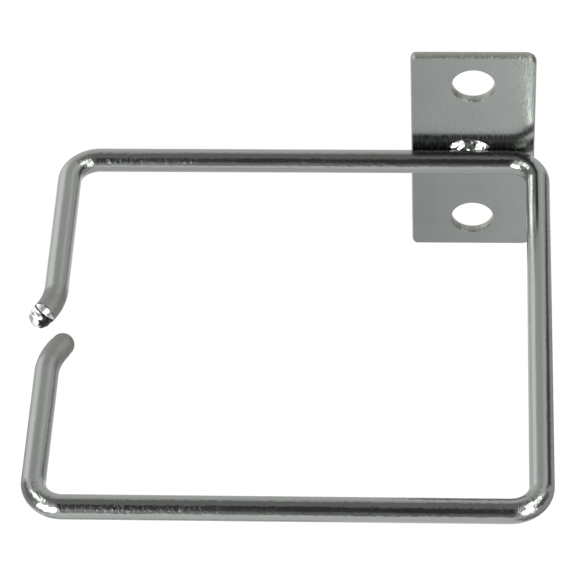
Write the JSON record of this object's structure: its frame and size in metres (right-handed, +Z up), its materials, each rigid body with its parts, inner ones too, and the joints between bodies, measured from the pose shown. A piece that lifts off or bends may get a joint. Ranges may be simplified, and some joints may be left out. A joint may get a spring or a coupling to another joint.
{
  "type": "cable management bracket",
  "caption": "Open square ring of bent round wire welded to a flat punched plate that screws to a rack rail. Patch cables slip in between the ring's offset tips and are led along the rail.",
  "frame": {"origin": "middle of the plate's back face, between the two holes and level with the ring's centre line", "axes": "+Y out of the plate's back face into the rail, +Z up along the rail; the ring stands out level towards -Y and reaches mostly towards -X"},
  "size_m": [0.0858, 0.0815, 0.045],
  "materials": {
    "plated_wire": "bright zinc plate on drawn wire",
    "plated_sheet": "bright zinc plate on rolled sheet",
    "plated_weld": "bright zinc plate on weld metal"
  },
  "bodies": {
    "root": {"wire_ring": "plated_wire", "mounting_plate": "plated_sheet", "weld_bead": "plated_weld"}
  },
  "joints": []
}
